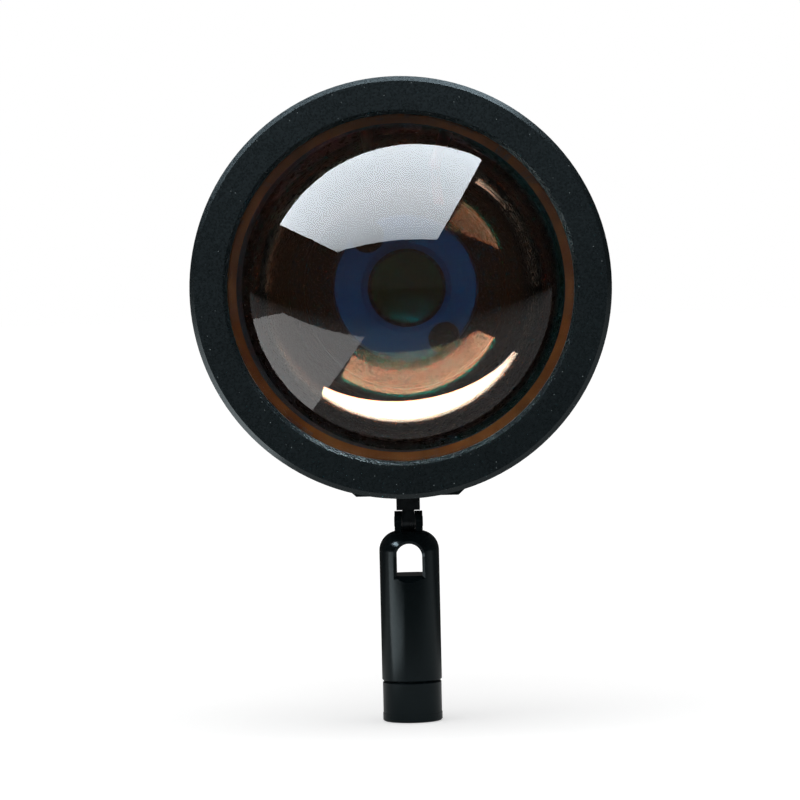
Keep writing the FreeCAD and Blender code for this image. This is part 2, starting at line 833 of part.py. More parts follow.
def make_rear_cover():
    """Round cap with a rolled rear edge, a ring of vent slots and three deep screw seats."""
    inner = housing_radius - s.cover_wall
    corner = s.cover_corner
    body = turned("rear_cover", [
        (s.jack_nose_radius + s.jack_clearance, cover_inside),
        (inner - corner, cover_inside),
        (inner, cover_inside - corner),
        (inner, fins_back),
        (housing_radius, fins_back),
        (housing_radius, cover_end - corner),
        (housing_radius - corner, cover_end, corner, 1),
        (s.jack_nose_radius + s.jack_clearance, cover_end),
    ])
    drawing = new_sketch(body, "XY_Plane", fins_back)
    circles(drawing, [(0, -channel_circle, s.cover_boss_radius)])
    boss = pad(body, drawing, cover_inside - fins_back)
    polar(body, [boss], s.channel_count, 1)
    drawing = new_sketch(body, "XY_Plane", cover_end)
    circles(drawing, [(0, -channel_circle, screw_hole)])
    hole = pocket(body, drawing)
    polar(body, [hole], s.channel_count, -1)
    drawing = new_sketch(body, "XY_Plane", cover_end)
    circles(drawing, [(0, -channel_circle, s.head_radius + s.screw_gap)])
    seat = pocket(body, drawing, s.head_height)
    polar(body, [seat], s.channel_count, -1)
    half = s.vent_width / 2
    drawing = outline(new_sketch(body, "XY_Plane", cover_end), [
        (s.vent_inner, half),
        (s.vent_inner - half, 0, half, 1),
        (s.vent_inner, -half, half, 1),
        (s.vent_outer, -half),
        (s.vent_outer + half, 0, half, 1),
        (s.vent_outer, half, half, 1),
    ])
    vent = pocket(body, drawing, s.cover_back)
    polar(body, [vent], s.vent_count, -1)
    body = on_lamp_axis(new_body("rear_cover_screws"), FULL_TURN / 2)
    seat_depth = cover_end - s.head_height
    ends = (cover_end, seat_depth, fins_back - s.screw_grip)
    screw_set(body, "YZ_Plane", channel_circle, s.screw_radius, s.head_radius, ends, s.channel_count)
    drawing = hexagon(new_sketch(body, "XY_Plane", cover_end), channel_circle, s.hex_flats)
    socket = pocket(body, drawing, s.hex_depth)
    polar(body, [socket], s.channel_count, -1)


# ---------------------------------------------------------------- saddle, neck and tilt joint


def make_saddle():
    """Block hollowed to the housing's curve, slanted at its lower corners, with a socket for the neck."""
    body = new_body("mount_saddle")
    half = s.saddle_width / 2
    flat = half - s.saddle_bevel
    shoulder = axis_height - leg(housing_radius, half)
    drawing = outline(new_sketch(body, "XZ_Plane"), [
        (-flat, saddle_bottom),
        (flat, saddle_bottom),
        (half, saddle_bottom + s.saddle_slant),
        (half, shoulder),
        (0, housing_bottom, housing_radius, -1),
        (-half, shoulder, housing_radius, -1),
        (-half, saddle_bottom + s.saddle_slant),
    ])
    pad(body, drawing, s.saddle_length, both_ways=True)
    drawing = circles(new_sketch(body, "XY_Plane", saddle_bottom), [(0, 0, s.stud_radius + s.screw_gap)])
    pocket(body, drawing, backwards=True)
    wide = s.neck_width / 2 + s.neck_play
    deep = s.neck_thickness / 2 + s.neck_play
    drawing = rectangle(new_sketch(body, "XY_Plane", saddle_bottom), wide, deep)
    pocket(body, drawing, s.neck_socket, backwards=True)
    above = s.seat_clearance
    offset = s.saddle_screw_offset
    drawing = new_sketch(body, "XY_Plane", housing_bottom + above)
    circles(drawing, [(0, -offset, screw_hole), (0, offset, screw_hole)])
    pocket(body, drawing, s.saddle_grip + above * 2)


def make_neck():
    """Tongue with a round eye, square neck above it, and the stud that holds the head; then its nut."""
    body = new_body("neck_lug")
    eye = s.eye_radius
    root = s.tongue_root / 2
    drawing = outline(new_sketch(body, "YZ_Plane"), [
        (eye, pivot_height, eye, 1),
        (root, neck_shoulder + s.eye_clearance),
        (-root, neck_shoulder + s.eye_clearance),
        (-eye, pivot_height),
        (0, pivot_height - eye, eye, 1),
    ])
    pad(body, drawing, s.tongue_width, both_ways=True)
    drawing = new_sketch(body, "XY_Plane", neck_shoulder)
    rectangle(drawing, s.neck_width / 2, s.neck_thickness / 2)
    pad(body, drawing, saddle_bottom + s.neck_socket - neck_shoulder)
    corner = s.nut_flats / math.sqrt(3)
    nut_bottom = bore_bottom + housing_bore - leg(housing_bore, corner)
    stud_top = nut_bottom + s.nut_height + s.stud_spare
    drawing = circles(new_sketch(body, "XY_Plane", saddle_bottom), [(0, 0, s.stud_radius)])
    pad(body, drawing, stud_top - saddle_bottom)
    drawing = circles(new_sketch(body, "YZ_Plane"), [(0, pivot_height, s.pin_radius + s.pin_clearance)])
    pocket(body, drawing, s.neck_width, both_ways=True)

    nut = new_body("neck_nut")
    drawing = hexagon(new_sketch(nut, "XY_Plane", nut_bottom), as_size(0), s.nut_flats)
    pad(nut, drawing, s.nut_height)
    drawing = new_sketch(nut, "XY_Plane", nut_bottom)
    circles(drawing, [(0, 0, s.stud_radius + s.screw_gap)])
    pocket(nut, drawing, backwards=True)


def make_saddle_screws():
    """Two screws from inside the housing; their flat heads bridge its curve."""
    body = new_body("saddle_screws")
    seat = axis_height - leg(housing_bore, s.head_radius)
    ends = (seat + s.saddle_screw_head, seat, housing_bottom - s.saddle_grip)
    screw_set(body, "YZ_Plane", s.saddle_screw_offset, s.screw_radius, s.head_radius, ends, 2)


def make_stem_sleeve():
    """Turned sleeve: rounded shoulder, fork ears on top, arched window right through, blind bore below."""
    shoulder = s.stem_radius - s.stem_shoulder
    body = turned("stem_sleeve", [
        (0, stem_bore_top),
        (s.stem_bore, stem_bore_top),
        (s.stem_bore, sleeve_bottom),
        (s.stem_radius - s.seam_chamfer, sleeve_bottom),
        (s.stem_radius, sleeve_bottom + s.seam_chamfer),
        (s.stem_radius, stem_top - s.stem_shoulder),
        (shoulder, stem_top, s.stem_shoulder, 1),
        (0, stem_top),
    ], new_body("stem_sleeve"))
    eye = s.eye_radius
    foot = stem_top - s.fork_root_sink
    drawing = outline(new_sketch(body, "YZ_Plane"), [
        (-eye, foot),
        (eye, foot),
        (eye, pivot_height),
        (0, pivot_height + eye, eye, 1),
        (-eye, pivot_height, eye, 1),
    ])
    pad(body, drawing, s.fork_width, both_ways=True)
    clear = eye + s.eye_clearance
    drawing = circles(new_sketch(body, "YZ_Plane"), [(0, pivot_height, clear)])
    pocket(body, drawing, slot_width, both_ways=True)
    drawing = outline(new_sketch(body, "YZ_Plane"), [
        (-clear, stem_top),
        (clear, stem_top),
        (clear, pivot_height),
        (-clear, pivot_height),
    ])
    pocket(body, drawing, slot_width, both_ways=True)
    drawing = circles(new_sketch(body, "YZ_Plane"), [(0, pivot_height, s.pin_radius)])
    pocket(body, drawing, s.fork_width, both_ways=True)
    half = s.window_half_width
    spring = window_top - half
    drawing = outline(new_sketch(body, "XZ_Plane"), [
        (-half, window_floor),
        (half, window_floor),
        (half, spring),
        (0, window_top, half, 1),
        (-half, spring, half, 1),
    ])
    pocket(body, drawing, s.stem_radius * 2, both_ways=True)
    drawing = circles(new_sketch(body, "XZ_Plane"), [(0, stop_height, screw_hole)])
    pocket(body, drawing, s.stem_radius)
    chamfer_window(body)
    slope_sills(body)


def chamfer_window(body):
    """Break the two outer rims of the window."""
    rims = []
    margin = s.window_chamfer.value
    reach = s.window_half_width.value + margin
    for number, edge in enumerate(body.Shape.Edges, start=1):
        box = edge.BoundBox
        inside = box.XMin > -reach and box.XMax < reach
        level = box.ZMin > window_floor.value - margin and box.ZMax < window_top.value + margin
        outer = min(abs(box.YMin), abs(box.YMax)) > s.window_half_width.value and box.YMin * box.YMax > 0
        if inside and level and outer:
            rims.append(f"Edge{number}")
    windowed = body.Tip
    feature = body.newObject("PartDesign::Chamfer", "Chamfer")
    feature.Base = (windowed, rims)
    feature.setExpression("Size", s.window_chamfer.formula)
    checked(body, feature, -1)


def slope_sills(body):
    """Slope the window's floor down to the outside, in front and behind."""
    inside = s.stem_radius - s.sill_depth
    outside = s.stem_radius + s.sill_depth
    drawing = new_sketch(body, "YZ_Plane")
    for side in (1, -1):
        outline(drawing, [
            (inside * side, window_floor),
            (outside * side, window_floor - s.sill_drop * 2),
            (outside * side, window_floor),
        ])
    pocket(body, drawing, (s.window_half_width + s.window_chamfer) * 2, both_ways=True)


def make_tilt_joint():
    """Cross pin and the two friction washers that fill the fork beside the tongue."""
    body = new_body("pivot_pin")
    drawing = circles(new_sketch(body, "YZ_Plane"), [(0, pivot_height, s.pin_radius)])
    pad(body, drawing, s.fork_width + s.pin_proud * 2, both_ways=True)
    body = new_body("friction_washers")
    inside = s.tongue_width / 2 + s.washer_play
    for backwards in (False, True):
        offset = -inside if backwards else inside
        drawing = circles(new_sketch(body, "YZ_Plane", offset), [
            (0, pivot_height, s.eye_radius),
            (0, pivot_height, s.pin_radius + s.pin_clearance),
        ])
        pad(body, drawing, s.washer_thickness, backwards=backwards)


# ---------------------------------------------------------------- swivel base


def make_swivel_base():
    """Collar with a foot ring, the grooved spindle inside the stem, the thread bush and the ring."""
    collar_radius = s.stem_radius - s.collar_inset
    foot_radius = s.stem_radius - s.foot_inset
    stop_floor = spindle_radius - s.stop_depth
    ring_centre = s.stem_bore - s.swivel_ring_clearance - s.swivel_ring_wire
    ring_groove = s.swivel_ring_wire + s.screw_gap
    body = turned("swivel_collar", [
        (s.bush_radius, 0),
        (foot_radius - s.seam_chamfer, 0),
        (foot_radius, s.seam_chamfer),
        (foot_radius, s.foot_height),
        (collar_radius, s.foot_height),
        (collar_radius, s.collar_height - s.seam_chamfer),
        (collar_radius - s.seam_chamfer, s.collar_height),
        (spindle_radius, s.collar_height),
        (spindle_radius, swivel_ring_height - ring_groove),
        (ring_centre - ring_groove, swivel_ring_height - ring_groove),
        (ring_centre - ring_groove, swivel_ring_height + ring_groove),
        (spindle_radius, swivel_ring_height + ring_groove),
        (spindle_radius, spindle_top - s.seam_chamfer),
        (spindle_radius - s.seam_chamfer, spindle_top),
        (s.spindle_bore, spindle_top),
        (s.spindle_bore, s.thread_length),
        (s.bush_radius, s.thread_length),
    ], new_body("swivel_collar"))
    drawing = outline(new_sketch(body, "YZ_Plane"), ring_points(
        stop_floor, s.stem_bore, stop_height - stop_half_height, stop_height + stop_half_height))
    groove(body, drawing, STOP_GROOVE_ANGLE)
    turned("thread_bush", ring_points(s.thread_radius, s.bush_radius, 0, s.thread_length),
           new_body("thread_bush"))
    body = new_body("swivel_ring")
    drawing = new_sketch(body, "XZ_Plane")
    revolve(body, circles(drawing, [(ring_centre, swivel_ring_height, s.swivel_ring_wire)]))


def make_pan_screw():
    """Grub screw at the back of the sleeve; its dog point runs in the spindle's stop groove."""
    body = new_body("pan_screw")
    dog_end = spindle_radius - s.stop_depth + s.stop_clearance
    thread_end = s.stem_bore + s.swivel_clearance
    head_end = s.stem_radius - s.pan_screw_setback
    drawing = circles(new_sketch(body, "XZ_Plane", -thread_end), [(0, stop_height, s.screw_radius)])
    pad(body, drawing, head_end - thread_end, backwards=True)
    drawing = circles(new_sketch(body, "XZ_Plane", -dog_end), [(0, stop_height, s.dog_radius)])
    pad(body, drawing, head_end - dog_end, backwards=True)


# ---------------------------------------------------------------- build and write


def check_document():
    """Stop if anything in the document failed, or a piece is not a sound solid."""
    for item in doc.Objects:
        if "Invalid" in item.State or "Error" in item.State:
            raise RuntimeError(f"{item.Label} did not build: {item.State}")
    for body in pieces():
        shape = body.Shape
        if shape.isNull() or not shape.isValid() or not shape.Solids:
            raise RuntimeError(f"{body.Label} is not a sound solid")


def pieces():
    return [item for item in doc.Objects if item.TypeId == "PartDesign::Body"]


def write_pieces():
    os.makedirs("parts", exist_ok=True)
    for body in pieces():
        body.Shape.exportStep(f"parts/{body.Label}.step")


make_sheet()
make_front_bezel()
make_lens_stack()
make_projection_lens()
make_baffle()
make_housing()
make_heat_sink()
make_heat_sink_screws()
make_light_source()
make_wire("led_wire_red", 1)
make_wire("led_wire_black", -1)
make_driver()
make_driver_parts()
make_power_jack()
make_rear_cover()
make_saddle()
make_neck()
make_saddle_screws()
make_stem_sleeve()
make_tilt_joint()
make_swivel_base()
make_pan_screw()
doc.recompute()
check_document()
write_pieces()
print(f"{len(pieces())} pieces written")
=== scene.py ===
"""Looks of a sunset projection lamp head: thick condenser lens, coated filter, black anodised metal."""

import math

import bpy
import numpy as np
from bpy.props import FloatProperty, FloatVectorProperty, IntProperty, PointerProperty
from mathutils import Matrix, Vector


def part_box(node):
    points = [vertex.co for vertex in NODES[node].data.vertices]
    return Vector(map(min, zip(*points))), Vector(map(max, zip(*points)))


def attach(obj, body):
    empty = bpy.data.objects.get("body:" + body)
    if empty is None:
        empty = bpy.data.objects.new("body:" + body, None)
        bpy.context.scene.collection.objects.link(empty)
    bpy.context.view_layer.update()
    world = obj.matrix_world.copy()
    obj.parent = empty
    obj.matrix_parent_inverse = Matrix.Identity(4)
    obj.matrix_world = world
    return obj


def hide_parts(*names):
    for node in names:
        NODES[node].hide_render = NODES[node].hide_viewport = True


bl_info = {
    "name": "Projection Lamp Looks",
    "version": (1, 0, 0),
    "blender": (4, 5, 0),
    "location": "View3D > Sidebar > Lamp",
    "description": "Dresses the packed projection lamp and sets its studio",
    "category": "Object",
}

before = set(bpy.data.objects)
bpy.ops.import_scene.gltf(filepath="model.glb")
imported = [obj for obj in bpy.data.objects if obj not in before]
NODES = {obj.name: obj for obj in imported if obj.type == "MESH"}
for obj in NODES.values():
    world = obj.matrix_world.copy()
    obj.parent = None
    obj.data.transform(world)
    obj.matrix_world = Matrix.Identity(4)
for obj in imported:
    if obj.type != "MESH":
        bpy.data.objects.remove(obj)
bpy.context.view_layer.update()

MM = 0.001
FULL_TURN = 2 * math.pi


def centre_of(node):
    """The middle of a node's box."""
    low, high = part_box(node)
    return (low + high) / 2


AXIS_HEIGHT = centre_of("projection_lens").z
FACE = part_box("front_bezel")[0].y

# The filter's coat ends at this radius.
COAT_RADIUS = 39.1 * MM
# What the coat reflects as the view slants away from straight on, against one minus the cosine, widened.
COAT_WIDENING = 4.0
COAT_BANDS = ((0.15, "#ff8f60"), (0.185, "#ff8f60"), (0.205, "#966c58"), (0.29, "#8c6450"), (0.31, "#5abcc0"),
              (0.33, "#5abcc0"), (0.345, "#9a8c68"), (0.37, "#a89048"), (0.5, "#5aaab4"))


# ---------------------------------------------------------------- colours and nodes


def linear(code):
    """Linear RGBA from an sRGB hex value such as #a0b0c0."""
    channels = [int(code[place:place + 2], 16) / 255 for place in (1, 3, 5)]
    curve = [c / 12.92 if c <= 0.04045 else ((c + 0.055) / 1.055) ** 2.4 for c in channels]
    return (*curve, 1.0)


def add_node(tree, kind, sockets=None, **settings):
    """Add one node, apply its own settings, and give its sockets a value or a link."""
    made = tree.nodes.new(kind)
    for name, value in settings.items():
        setattr(made, name, value)
    for name, value in (sockets or {}).items():
        if isinstance(value, bpy.types.NodeSocket):
            tree.links.new(value, made.inputs[name])
        else:
            made.inputs[name].default_value = value
    return made


def new_material(name):
    """An empty node material and its output node."""
    material = bpy.data.materials.new(name)
    material.use_nodes = True
    material.node_tree.nodes.clear()
    return material, material.node_tree, add_node(material.node_tree, "ShaderNodeOutputMaterial")


def grain(tree, size, detail=2.0):
    """Noise in object space whose features are about one size across, in metres."""
    place = add_node(tree, "ShaderNodeTexCoord").outputs["Object"]
    return add_node(tree, "ShaderNodeTexNoise", {"Vector": place, "Scale": 1 / size, "Detail": detail})


def spread(tree, source, low, high):
    """A value between low and high, following a pattern from nought to one."""
    reach = {"Value": source, "From Min": 0.3, "From Max": 0.7, "To Min": low, "To Max": high}
    return add_node(tree, "ShaderNodeMapRange", reach).outputs["Result"]


def bumped(tree, pattern, height, strength=1.0):
    """A normal that follows a pattern to a height in metres."""
    sockets = {"Height": pattern, "Distance": height, "Strength": strength}
    return add_node(tree, "ShaderNodeBump", sockets).outputs["Normal"]


def two_tone(tree, pattern, first, second):
    """A colour between two sRGB hex values, following a pattern."""
    blend = add_node(tree, "ShaderNodeMix", {"Factor": pattern}, data_type="RGBA")
    blend.inputs["A"].default_value = linear(first)
    blend.inputs["B"].default_value = linear(second)
    return blend.outputs["Result"]


def overlaid(tree, mask, under, over):
    """The colour under, with an sRGB hex value over it where the mask is one."""
    blend = add_node(tree, "ShaderNodeMix", {"Factor": mask}, data_type="RGBA")
    tree.links.new(under, blend.inputs["A"])
    blend.inputs["B"].default_value = linear(over)
    return blend.outputs["Result"]


# ---------------------------------------------------------------- finishes


def black_anodised_aluminium(name, index, smoothest, dullest, dust=0.0):
    """Aluminium in a dyed oxide coat: black with a cold cast, as shiny as its turning or blasting left it.

    Dust is the radius of pale specks on it, as a share of the distance between them.
    """
    material, tree, output = new_material(name)
    place = add_node(tree, "ShaderNodeTexCoord").outputs["Object"]
    spacing = 2 * MM
    specks = add_node(tree, "ShaderNodeTexVoronoi", {"Vector": place, "Scale": 1 / spacing})
    dusty = add_node(tree, "ShaderNodeMath", {
        0: specks.outputs["Distance"], 1: dust}, operation="LESS_THAN").outputs["Value"]
    beads = grain(tree, 0.45 * MM).outputs["Fac"]
    clouds = grain(tree, 14 * MM).outputs["Fac"]
    dye = two_tone(tree, spread(tree, clouds, 0, 1), "#070e10", "#0c1416")
    shader = add_node(tree, "ShaderNodeBsdfPrincipled", {
        "Base Color": overlaid(tree, dusty, dye, "#8c9698"),
        "IOR": index,
        "Specular Tint": linear("#d4e8ee"),
        "Roughness": spread(tree, beads, smoothest, dullest),
        "Normal": bumped(tree, beads, 0.004 * MM),
    })
    tree.links.new(shader.outputs["BSDF"], output.inputs["Surface"])
    return material


def bronze_anodised_aluminium():
    """Turned aluminium in a bronze oxide coat: warm brown metal with a soft shine."""
    material, tree, output = new_material("bronze_anodised_aluminium")
    clouds = grain(tree, 5 * MM).outputs["Fac"]
    shader = add_node(tree, "ShaderNodeBsdfPrincipled", {
        "Base Color": two_tone(tree, spread(tree, clouds, 0, 1), "#7c4824", "#8e562c"),
        "Metallic": 0.8,
        "Roughness": spread(tree, clouds, 0.34, 0.42),
    })
    tree.links.new(shader.outputs["BSDF"], output.inputs["Surface"])
    return material


def black_oxide_steel():
    """Steel blackened in a hot salt bath: nearly black, with a thin oily shine that shows the turning."""
    material, tree, output = new_material("black_oxide_steel")
    blotches = grain(tree, 2.5 * MM).outputs["Fac"]
    shader = add_node(tree, "ShaderNodeBsdfPrincipled", {
        "Base Color": two_tone(tree, spread(tree, blotches, 0, 1), "#14191b", "#22282b"),
        "Metallic": 0.55,
        "Roughness": spread(tree, blotches, 0.24, 0.36),
        "Normal": bumped(tree, grain(tree, 0.3 * MM).outputs["Fac"], 0.01 * MM),
    })
    tree.links.new(shader.outputs["BSDF"], output.inputs["Surface"])
    return material


def zinc_plated_steel():
    """Bright zinc on cold-headed screws: silver with a faint blue passivation and small dull patches."""
    material, tree, output = new_material("zinc_plated_steel")
    patches = grain(tree, 1.2 * MM).outputs["Fac"]
    shader = add_node(tree, "ShaderNodeBsdfPrincipled", {
        "Base Color": two_tone(tree, spread(tree, patches, 0, 1), "#b4b8bd", "#cdd2d8"),
        "Metallic": 1.0,
        "Roughness": spread(tree, patches, 0.22, 0.38),
    })
    tree.links.new(shader.outputs["BSDF"], output.inputs["Surface"])
    return material


def turned_brass():
    """Free-cutting brass straight from the lathe: yellow, with rings left by the tool.

    The wave node's rings lie a twentieth of a turn apart at scale one.
    """
    material, tree, output = new_material("turned_brass")
    place = add_node(tree, "ShaderNodeTexCoord").outputs["Object"]
    ring_spacing = 0.79 * MM
    rings = add_node(tree, "ShaderNodeTexWave", {
        "Vector": place, "Scale": FULL_TURN / (20 * ring_spacing), "Distortion": 0.6, "Detail": 2.0,
    }, bands_direction="Z").outputs["Fac"]
    shader = add_node(tree, "ShaderNodeBsdfPrincipled", {
        "Base Color": two_tone(tree, spread(tree, rings, 0, 1), "#c09a48", "#d8b566"),
        "Metallic": 1.0,
        "Roughness": spread(tree, rings, 0.2, 0.34),
        "Normal": bumped(tree, rings, 0.01 * MM),
    })
    tree.links.new(shader.outputs["BSDF"], output.inputs["Surface"])
    return material


def enamelled_copper():
    """Copper wire in clear enamel: dark orange, smooth and shiny."""
    material, tree, output = new_material("enamelled_copper")
    drift = grain(tree, 0.9 * MM).outputs["Fac"]
    shader = add_node(tree, "ShaderNodeBsdfPrincipled", {
        "Base Color": two_tone(tree, spread(tree, drift, 0, 1), "#a4522a", "#bc663a"),
        "Metallic": 0.85,
        "Roughness": spread(tree, drift, 0.18, 0.26),
        "Coat Weight": 0.5,
        "Coat Roughness": 0.08,
    })
    tree.links.new(shader.outputs["BSDF"], output.inputs["Surface"])
    return material


def moulded_black_abs():
    """ABS from a spark-eroded mould: charcoal black with an even, slightly pebbled satin surface."""
    material, tree, output = new_material("moulded_black_abs")
    pebbles = grain(tree, 0.5 * MM, 3.0).outputs["Fac"]
    shader = add_node(tree, "ShaderNodeBsdfPrincipled", {
        "Base Color": two_tone(tree, spread(tree, pebbles, 0, 1), "#0f1112", "#171a1c"),
        "IOR": 1.54,
        "Roughness": spread(tree, pebbles, 0.42, 0.58),
        "Normal": bumped(tree, pebbles, 0.04 * MM),
    })
    tree.links.new(shader.outputs["BSDF"], output.inputs["Surface"])
    return material


def nitrile_rubber():
    """Moulded nitrile rubber: dull black with a dusty bloom."""
    material, tree, output = new_material("nitrile_rubber")
    bloom = grain(tree, 1.5 * MM).outputs["Fac"]
    shader = add_node(tree, "ShaderNodeBsdfPrincipled", {
        "Base Color": two_tone(tree, spread(tree, bloom, 0, 1), "#0d0d0e", "#1b1b1c"),
        "IOR": 1.52,
        "Roughness": spread(tree, bloom, 0.62, 0.8),
    })
    tree.links.new(shader.outputs["BSDF"], output.inputs["Surface"])
    return material


def borosilicate_glass():
    """Polished borosilicate glass: clear, with a bright, sharp reflection off the dome."""
    material, tree, output = new_material("borosilicate_glass")
    shader = add_node(tree, "ShaderNodeBsdfPrincipled", {
        "Base Color": linear("#fbfffd"),
        "IOR": 1.47,
        "Roughness": 0.0,
        "Transmission Weight": 1.0,
    })
    tree.links.new(shader.outputs["BSDF"], output.inputs["Surface"])
    return material


def dichroic_coated_glass():
    """Thin glass under a multilayer coat: an orange mirror, teal at a slant, and blue seen through.

    The coat stops short of the rim, which is plain clear glass. Half of a mirror and half of a clear sheet,
    both with doubled colours, give the whole of both.
    """
    material, tree, output = new_material("dichroic_coated_glass")
    slant = add_node(tree, "ShaderNodeLayerWeight", {"Blend": 0.5}).outputs["Facing"]
    widened = add_node(tree, "ShaderNodeMath", {0: slant, 1: COAT_WIDENING}, operation="MULTIPLY")
    ramp = add_node(tree, "ShaderNodeValToRGB", {"Fac": widened.outputs["Value"]})
    stops = ramp.color_ramp.elements
    stops[0].position, stops[0].color = 0.0, linear("#ff8a62")
    stops[1].position, stops[1].color = 1.0, linear("#5aaab4")
    for position, colour in COAT_BANDS:
        stops.new(position).color = linear(colour)
    place = add_node(tree, "ShaderNodeTexCoord").outputs["Object"]
    offset = add_node(tree, "ShaderNodeVectorMath", {0: place, 1: (0, 0, -AXIS_HEIGHT)}, operation="ADD")
    flat = add_node(tree, "ShaderNodeVectorMath", {0: offset.outputs[0], 1: (1, 0, 1)}, operation="MULTIPLY")
    radius = add_node(tree, "ShaderNodeVectorMath", {0: flat.outputs[0]}, operation="LENGTH").outputs["Value"]
    rim = add_node(tree, "ShaderNodeMath", {0: radius, 1: COAT_RADIUS}, operation="GREATER_THAN")
    mirrored = overlaid(tree, rim.outputs["Value"], ramp.outputs["Color"], "#2a2a2a")
    passed = add_node(tree, "ShaderNodeInvert", {"Color": mirrored}).outputs["Color"]
    double = [add_node(tree, "ShaderNodeVectorMath", {0: colour, 1: (2, 2, 2)}, operation="MULTIPLY")
              for colour in (mirrored, passed)]
    mirror = add_node(tree, "ShaderNodeBsdfGlossy", {
        "Color": double[0].outputs[0], "Roughness": 0.03}).outputs["BSDF"]
    clear = add_node(tree, "ShaderNodeBsdfTransparent", {"Color": double[1].outputs[0]}).outputs["BSDF"]
    both = add_node(tree, "ShaderNodeMixShader", {0: 0.5, 1: clear, 2: mirror})
    tree.links.new(both.outputs["Shader"], output.inputs["Surface"])
    return material


def silicone_pad():
    """Soft heat-conducting pad: pale grey-blue and matt."""
    material, tree, output = new_material("silicone_pad")
    filler = grain(tree, 0.6 * MM).outputs["Fac"]
    shader = add_node(tree, "ShaderNodeBsdfPrincipled", {
        "Base Color": two_tone(tree, filler, "#808b96", "#98a3ad"),
        "Roughness": spread(tree, filler, 0.7, 0.9),
    })
    tree.links.new(shader.outputs["BSDF"], output.inputs["Surface"])
    return material


def board_lacquer(name, first, second):
    """Glass-fibre or metal board under solder lacquer: glossy, with the copper's pattern showing through."""
    material, tree, output = new_material(name)
    place = add_node(tree, "ShaderNodeTexCoord").outputs["Object"]
    track_spacing = 3.5 * MM
    tracks = add_node(tree, "ShaderNodeTexVoronoi", {
        "Vector": place, "Scale": 1 / track_spacing}, distance="CHEBYCHEV")
    weave = grain(tree, 0.35 * MM).outputs["Fac"]
    shader = add_node(tree, "ShaderNodeBsdfPrincipled", {
        "Base Color": two_tone(tree, spread(tree, tracks.outputs["Distance"], 0, 1), first, second),
        "IOR": 1.55,
        "Roughness": spread(tree, weave, 0.2, 0.34),
        "Normal": bumped(tree, weave, 0.01 * MM),
    })
    tree.links.new(shader.outputs["BSDF"], output.inputs["Surface"])
    return material


def phosphor_silicone():
    """Yellow phosphor in a clear silicone dome: dull olive yellow while the lamp is off."""
    material, tree, output = new_material("phosphor_silicone")
    powder = grain(tree, 0.25 * MM).outputs["Fac"]
    shader = add_node(tree, "ShaderNodeBsdfPrincipled", {
        "Base Color": two_tone(tree, powder, "#4c4426", "#5c5230"),
        "IOR": 1.41,
        "Roughness": spread(tree, powder, 0.1, 0.2),
        "Coat Weight": 0.6,
        "Coat Roughness": 0.05,
    })
    tree.links.new(shader.outputs["BSDF"], output.inputs["Surface"])
    return material


def plain_plastic(name, first, second, roughness):
    """A smooth moulded or extruded plastic with a faint mottle."""
    material, tree, output = new_material(name)
    mottle = grain(tree, 0.8 * MM).outputs["Fac"]
    shader = add_node(tree, "ShaderNodeBsdfPrincipled", {
        "Base Color": two_tone(tree, spread(tree, mottle, 0, 1), first, second),
        "Roughness": spread(tree, mottle, roughness, roughness + 0.12),
    })
    tree.links.new(shader.outputs["BSDF"], output.inputs["Surface"])
    return material


def sintered_ferrite():
    """Pressed and fired ferrite: dark grey, close-grained and slightly chalky."""
    return plain_plastic("sintered_ferrite", "#262729", "#36383b", 0.55)


def give(material, *nodes):
    """Put one material in every slot of these CAD nodes."""
    for name in nodes:
        for slot in NODES[name].material_slots:
            slot.material = material


# ---------------------------------------------------------------- surfaces


def wrap(rows, columns, first=0, closed=False):
    """Quads between neighbouring rings of points; a closed grid also joins its last ring to its first."""
    row, column = np.meshgrid(np.arange(rows if closed else rows - 1), np.arange(columns), indexing="ij")
    below, beside = (row + 1) % rows, (column + 1) % columns
    corners = [row * columns + column, below * columns + column,
               below * columns + beside, row * columns + beside]
    return first + np.stack(corners, -1).reshape(-1, 4)


def new_piece(name, points, faces, material, body, sharp=30.0):
    """A finished mesh piece, smooth except across its sharp edges, riding on one body."""
    mesh = bpy.data.meshes.new(name)
    mesh.from_pydata(points.tolist(), [], [face.tolist() for face in faces])
    mesh.polygons.foreach_set("use_smooth", np.ones(len(mesh.polygons), dtype=bool))
    mesh.set_sharp_from_angle(angle=math.radians(sharp))
    mesh.materials.append(material)
    mesh.validate()
    piece = bpy.data.objects.new(name, mesh)
    bpy.context.scene.collection.objects.link(piece)
    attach(piece, body)
    return piece


def capped(rings, poles):
    """Points and faces of a stack of rings of points, closed at both ends by a fan to a pole."""
    rows, columns = rings.shape[:2]
    column = np.arange(columns)
    following = (column + 1) % columns
    last = 2 + (rows - 1) * columns
    front = np.stack([0 * column, 2 + column, 2 + following], -1)
    back = np.stack([0 * column + 1, last + following, last + column], -1)
    return np.concatenate([poles, rings.reshape(-1, 3)]), [*front, *wrap(rows, columns, 2), *back]


def spun_solid(middle, radius, depth):
    """Points and faces of a solid turned about a line along Y through its middle.

    Ring i lies at y = middle + depth i, and its point at angle a at x = middle + radius cos a and
    z = middle + radius sin a. The radius may change along a ring. The first and last depth are poles.
    """
    angle = np.linspace(0, FULL_TURN, radius.shape[1], endpoint=False)
    rings = np.stack([
        middle.x + radius * np.cos(angle),
        middle.y + depth[1:-1, None] + 0 * radius,
        middle.z + radius * np.sin(angle),
    ], -1)
    poles = [[middle.x, middle.y + depth[end], middle.z] for end in (0, -1)]
    return capped(rings, np.array(poles))


